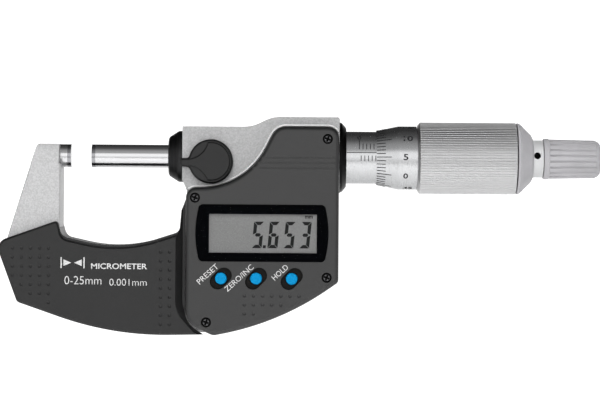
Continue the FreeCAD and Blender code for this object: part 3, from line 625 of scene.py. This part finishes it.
def cover_words():
    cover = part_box("front_grip_cover")[0].y / MM
    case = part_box("display_housing")[0].y / MM
    print_words("range_words", "0-25mm", -1.05, -35.25, cover, 10.1, 2.25, "frame",
                "print", bold=-0.008)
    print_words("step_words", "0.001mm", 11.2, -35.5, cover, 10.2, 1.85, "frame",
                "print", bold=-0.008)
    print_words("type_words", "MICROMETER", 6.2, -31.0, cover, 15.3, 1.55, "frame",
                "print", bold=0.016)
    for name, words, x, z, width in (
        ("left_label", "PRESET", 36.1, -34.95, 7.0),
        ("middle_label", "ZERO/INC", 43.65, -36.9, 9.7),
        ("right_label", "HOLD", 56.45, -33.75, 5.1),
    ):
        print_words(name, words, x, z, case, width, 1.5, "frame", "print", 42.5)
    gap_sign(cover)


def gap_sign(face):
    """Plain sign of two points facing each other between two bars."""
    bm = bmesh.new()
    middle = -29.35
    for side in (-1, 1):
        x = 1.15
        outer = x + side * 3.3
        inner = x + side * 2.95
        bar(bm, [(outer, middle - 1.5), (inner, middle - 1.5), (inner, middle + 1.5),
                 (outer, middle + 1.5)], face - 0.015)
        bar(bm, [(x + side * 2.5, middle - 0.9), (x + side * 0.35, middle),
                 (x + side * 2.5, middle + 0.9)], face - 0.015)
    mesh = mesh_from(bm, "gap_sign")
    finish_piece("gap_sign", mesh, "frame", "print", 0.012)


MATERIALS["ink"] = ink("dial_ink", (0.02, 0.02, 0.022))
MATERIALS["segments"] = ink("lcd_segments", (0.012, 0.012, 0.012), 0.45)
MATERIALS["print"] = ink("white_print", (0.70, 0.70, 0.70), 0.6)
sleeve_marks()
thimble_marks()
lcd_digits()
window_border()
cover_words()


# ------------------------------------------------------------------ stage, light and camera

# Grey of the sky from straight down (0) to straight up (1), in front and behind.
FRONT_SKY = ((0.0, 0.55), (0.452, 0.55), (0.46, 0.8), (0.68, 0.8), (0.735, 0.28), (0.85, 0.27),
             (0.93, 0.19), (0.975, 0.11), (1.0, 0.05))
BACK_SKY = ((0.0, 0.05), (0.32, 0.05), (0.43, 0.8), (0.60, 0.8), (0.655, 0.02), (0.85, 0.03),
            (0.94, 0.02), (1.0, 0.05))
CAMERA_PLACE = (63.1, -720.0, -11.79)
CAMERA_ROLL = 0.0072
LENS = 156.4
FLOOR_PLACE = (0.06, 0, -0.30)
FLOOR_HALF = 2.8


def floor():
    """Pale floor with painted light: it glows by emission, weakly under the object and more strongly
    outwards, so it is darker under the object and brighter towards the horizon.
    """
    bm = bmesh.new()
    bmesh.ops.create_grid(bm, x_segments=8, y_segments=8, size=FLOOR_HALF)
    mesh = mesh_from(bm, "floor")
    plane = bpy.data.objects.new("floor", mesh)
    plane.location = FLOOR_PLACE
    bpy.context.scene.collection.objects.link(plane)
    look = Look("pale_floor", (0.90, 0.90, 0.90), 0.9)
    look.set(Specular_IOR_Level=0.0)
    look.vary_color(look.noise(0.02, 3.0), 0.97, 1.02)
    place = look.add("ShaderNodeTexCoord")
    reach = look.add("ShaderNodeVectorMath")
    reach.operation = "LENGTH"
    look.link(place.outputs["Object"], reach.inputs[0])
    # Painted light: emission strength rises from 0.22 near the floor's centre to 0.80 at 2.4 m out.
    glow = look.spread(reach.outputs["Value"], 0.22, 0.80, 0.4, 2.4, "SMOOTHSTEP")
    look.link(glow, look.shader.inputs["Emission Strength"])
    mesh.materials.append(look.material)


def studio_world():
    """White round the horizon, dimmer to the sides, grey above the front, dark above the back."""
    world = bpy.data.worlds.new("studio")
    bpy.context.scene.world = world
    world.use_nodes = True
    tree = world.node_tree
    place = tree.nodes.new("ShaderNodeTexCoord")
    parts = tree.nodes.new("ShaderNodeSeparateXYZ")
    tree.links.new(place.outputs["Generated"], parts.inputs[0])
    front = tree.nodes.new("ShaderNodeValToRGB")
    back = tree.nodes.new("ShaderNodeValToRGB")
    ramp(front, FRONT_SKY)
    ramp(back, BACK_SKY)
    height = tree.nodes.new("ShaderNodeMapRange")
    set_range(height, -1.0, 1.0)
    tree.links.new(parts.outputs["Z"], height.inputs["Value"])
    side = tree.nodes.new("ShaderNodeMapRange")
    side.interpolation_type = "SMOOTHSTEP"
    set_range(side, -0.35, 0.15)
    tree.links.new(parts.outputs["Y"], side.inputs["Value"])
    blend = tree.nodes.new("ShaderNodeMix")
    blend.data_type = "RGBA"
    tree.links.new(height.outputs["Result"], front.inputs["Fac"])
    tree.links.new(height.outputs["Result"], back.inputs["Fac"])
    tree.links.new(side.outputs["Result"], blend.inputs["Factor"])
    tree.links.new(front.outputs["Color"], blend.inputs[6])
    tree.links.new(back.outputs["Color"], blend.inputs[7])
    across = tree.nodes.new("ShaderNodeMath")
    across.operation = "ABSOLUTE"
    tree.links.new(parts.outputs["X"], across.inputs[0])
    fall = tree.nodes.new("ShaderNodeMapRange")
    fall.interpolation_type = "SMOOTHSTEP"
    set_range(fall, 0.30, 0.75, 1.6, 0.72)
    tree.links.new(across.outputs[0], fall.inputs["Value"])
    sky = tree.nodes["Background"]
    tree.links.new(fall.outputs["Result"], sky.inputs["Strength"])
    tree.links.new(blend.outputs[2], sky.inputs["Color"])


def ramp(node, stops):
    elements = node.color_ramp.elements
    while len(elements) < len(stops):
        elements.new(0.5)
    for element, (position, grey) in zip(elements, stops):
        element.position = position
        element.color = (grey, grey, grey, 1)


def soft_light(name, place, aim, size, power, spread=180.0):
    data = bpy.data.lights.new(name, "AREA")
    data.shape = "DISK"
    data.size = size
    data.spread = math.radians(spread)
    data.energy = power
    lamp = bpy.data.objects.new(name, data)
    lamp.location = place
    lamp.rotation_euler = (Vector(aim) - Vector(place)).to_track_quat("-Z", "Y").to_euler()
    lamp.visible_glossy = False
    lamp.visible_camera = False
    bpy.context.scene.collection.objects.link(lamp)


def camera():
    """Long lens square to the display, a little rolled."""
    data = bpy.data.cameras.new("camera")
    data.sensor_width = 36.0
    data.lens = LENS
    view = bpy.data.objects.new("camera", data)
    view.location = Vector(CAMERA_PLACE) * MM
    view.matrix_world = (Matrix.Translation(view.location)
                         @ Matrix.Rotation(math.radians(90), 4, "X")
                         @ Matrix.Rotation(CAMERA_ROLL, 4, "Z"))
    bpy.context.scene.collection.objects.link(view)
    bpy.context.scene.camera = view


floor()
studio_world()
soft_light("overhead", (0.06, -0.60, 0.65), (0.06, -0.36, -0.3), 0.5, 1.7, 75.0)
soft_light("front_left", (-0.35, -1.10, 0.40), (0.06, 0, -0.02), 0.6, 1.9)
soft_light("back_right", (0.55, 1.10, 0.50), (0.06, 0, -0.02), 0.8, 8.0)
camera()
bpy.context.scene.view_settings.view_transform = "Standard"
